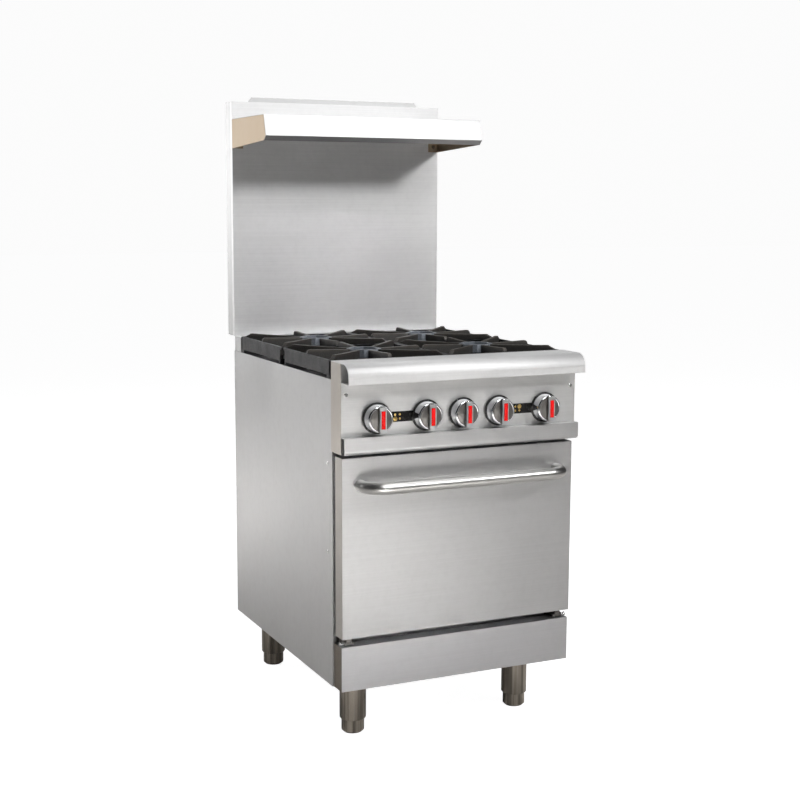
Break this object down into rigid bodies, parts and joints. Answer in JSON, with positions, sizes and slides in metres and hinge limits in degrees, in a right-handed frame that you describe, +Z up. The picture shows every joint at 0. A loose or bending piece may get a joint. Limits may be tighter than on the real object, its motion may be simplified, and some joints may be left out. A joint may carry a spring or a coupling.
{
  "type": "commercial gas range",
  "caption": "Free-standing stainless restaurant gas range with open top burners, cast iron grates, one oven, a flue riser and a high shelf.",
  "frame": {"origin": "on the floor, below the middle of the whole object", "axes": "+X to the right of a cook who faces the range, -Y towards the cook, +Z up"},
  "size_m": [0.6124, 0.865, 1.542],
  "materials": {
    "stainless": "brushed",
    "galvanised": "galvanised, dull",
    "enamel": "vitreous enamel, speckled",
    "chrome_wire": "plated wire",
    "mineral_wool": "fibrous",
    "gasket": "woven fibreglass",
    "hinge_steel": "zinc plated, dull",
    "bright_steel": "polished",
    "black_label": "gloss",
    "gas_pipe": "black pipe",
    "brass": "machined",
    "valve_body": "die cast",
    "copper": "drawn tube",
    "cast_iron": "sand cast, seasoned",
    "leg_steel": "satin",
    "handle_steel": "fine satin",
    "knob_chrome": "polished with brushed face",
    "red_plastic": "gloss"
  },
  "bodies": {
    "range_body": {"base_pan": "galvanised", "side_panel_left": "stainless", "side_panel_right": "stainless", "back_panel": "galvanised", "front_frame": "stainless", "oven_liner": "enamel", "oven_floor": "enamel", "rack_guides": "chrome_wire", "oven_insulation": "mineral_wool", "door_gasket": "gasket", "hinge_brackets": "hinge_steel", "hinge_pins": "bright_steel", "control_panel": "stainless", "control_end_caps": "stainless", "front_rail": "stainless", "label_plates": "black_label", "panel_screws": "bright_steel", "gas_manifold": "gas_pipe", "gas_inlet_pipe": "gas_pipe", "burner_valves": "brass", "oven_thermostat": "valve_body", "oven_gas_tube": "copper", "oven_safety_valve": "valve_body", "oven_burner": "cast_iron", "burner_bodies": "cast_iron", "burner_caps": "cast_iron", "pilot_tubes": "copper", "top_frame": "galvanised", "stub_back": "stainless", "riser_front": "stainless", "riser_rear": "stainless", "flue_deflector": "stainless", "riser_uprights": "galvanised", "flue_duct": "galvanised", "shelf": "stainless", "shelf_brackets": "stainless", "shelf_bolts": "bright_steel", "leg_tubes": "leg_steel"},
    "oven_door": {"door_skin": "stainless", "door_inner_panel": "enamel", "door_insulation": "mineral_wool", "door_handle": "handle_steel", "door_hinge_arms": "hinge_steel"},
    "knob_front_left": {"knob_front_left": "knob_chrome"},
    "knob_rear_left": {"knob_rear_left": "knob_chrome"},
    "knob_oven": {"knob_oven": "knob_chrome"},
    "knob_rear_right": {"knob_rear_right": "knob_chrome"},
    "knob_front_right": {"knob_front_right": "knob_chrome"},
    "grate_front_left": {"grate_front_left": "cast_iron"},
    "grate_front_right": {"grate_front_right": "cast_iron"},
    "grate_rear_left": {"grate_rear_left": "cast_iron"},
    "grate_rear_right": {"grate_rear_right": "cast_iron"},
    "foot_front_left": {"foot_front_left": "leg_steel"},
    "foot_front_right": {"foot_front_right": "leg_steel"},
    "foot_rear_left": {"foot_rear_left": "leg_steel"},
    "foot_rear_right": {"foot_rear_right": "leg_steel"},
    "crumb_tray": {"crumb_tray": "stainless"},
    "kick_plate": {"kick_plate": "stainless"},
    "oven_rack": {"oven_rack": "chrome_wire"},
    "safety_button": {"safety_button": "red_plastic"}
  },
  "joints": [
    {"name": "door_hinge", "type": "hinge", "parent": "range_body", "child": "oven_door", "pos_m": [0, -0.345, 0.261], "axis": [1, 0, 0], "range_deg": [0, 90], "stiffness_Nm_per_rad": 9, "springref_deg": -14.32},
    {"name": "knob_front_left_turn", "type": "hinge", "parent": "range_body", "child": "knob_front_left", "pos_m": [-0.2184, -0.3653, 0.785], "axis": [0, -1, 0], "range_deg": [0, 180]},
    {"name": "knob_rear_left_turn", "type": "hinge", "parent": "range_body", "child": "knob_rear_left", "pos_m": [-0.094, -0.3653, 0.785], "axis": [0, -1, 0], "range_deg": [0, 180]},
    {"name": "knob_oven_turn", "type": "hinge", "parent": "range_body", "child": "knob_oven", "pos_m": [0, -0.3653, 0.785], "axis": [0, -1, 0], "range_deg": [0, 270]},
    {"name": "knob_rear_right_turn", "type": "hinge", "parent": "range_body", "child": "knob_rear_right", "pos_m": [0.094, -0.3653, 0.785], "axis": [0, -1, 0], "range_deg": [0, 180]},
    {"name": "knob_front_right_turn", "type": "hinge", "parent": "range_body", "child": "knob_front_right", "pos_m": [0.2184, -0.3653, 0.785], "axis": [0, -1, 0], "range_deg": [0, 180]},
    {"name": "grate_front_left_lift", "type": "slide", "parent": "range_body", "child": "grate_front_left", "axis": [0, 0, 1], "range_m": [0, 0.15]},
    {"name": "grate_front_right_lift", "type": "slide", "parent": "range_body", "child": "grate_front_right", "axis": [0, 0, 1], "range_m": [0, 0.15]},
    {"name": "grate_rear_left_lift", "type": "slide", "parent": "range_body", "child": "grate_rear_left", "axis": [0, 0, 1], "range_m": [0, 0.15]},
    {"name": "grate_rear_right_lift", "type": "slide", "parent": "range_body", "child": "grate_rear_right", "axis": [0, 0, 1], "range_m": [0, 0.15]},
    {"name": "foot_front_left_adjust", "type": "slide", "parent": "range_body", "child": "foot_front_left", "axis": [0, 0, -1], "range_m": [0, 0.035]},
    {"name": "foot_front_right_adjust", "type": "slide", "parent": "range_body", "child": "foot_front_right", "axis": [0, 0, -1], "range_m": [0, 0.035]},
    {"name": "foot_rear_left_adjust", "type": "slide", "parent": "range_body", "child": "foot_rear_left", "axis": [0, 0, -1], "range_m": [0, 0.035]},
    {"name": "foot_rear_right_adjust", "type": "slide", "parent": "range_body", "child": "foot_rear_right", "axis": [0, 0, -1], "range_m": [0, 0.035]},
    {"name": "tray_slide", "type": "slide", "parent": "range_body", "child": "crumb_tray", "axis": [0, -1, 0], "range_m": [0, 0.5]},
    {"name": "kick_pull", "type": "slide", "parent": "range_body", "child": "kick_plate", "axis": [0, 1, 0], "range_m": [-0.3, 0]},
    {"name": "rack_slide", "type": "slide", "parent": "range_body", "child": "oven_rack", "axis": [0, -1, 0], "range_m": [0, 0.01]},
    {"name": "button_press", "type": "slide", "parent": "range_body", "child": "safety_button", "axis": [0, 1, 0], "range_m": [0, 0.006], "stiffness_N_per_m": 400}
  ]
}
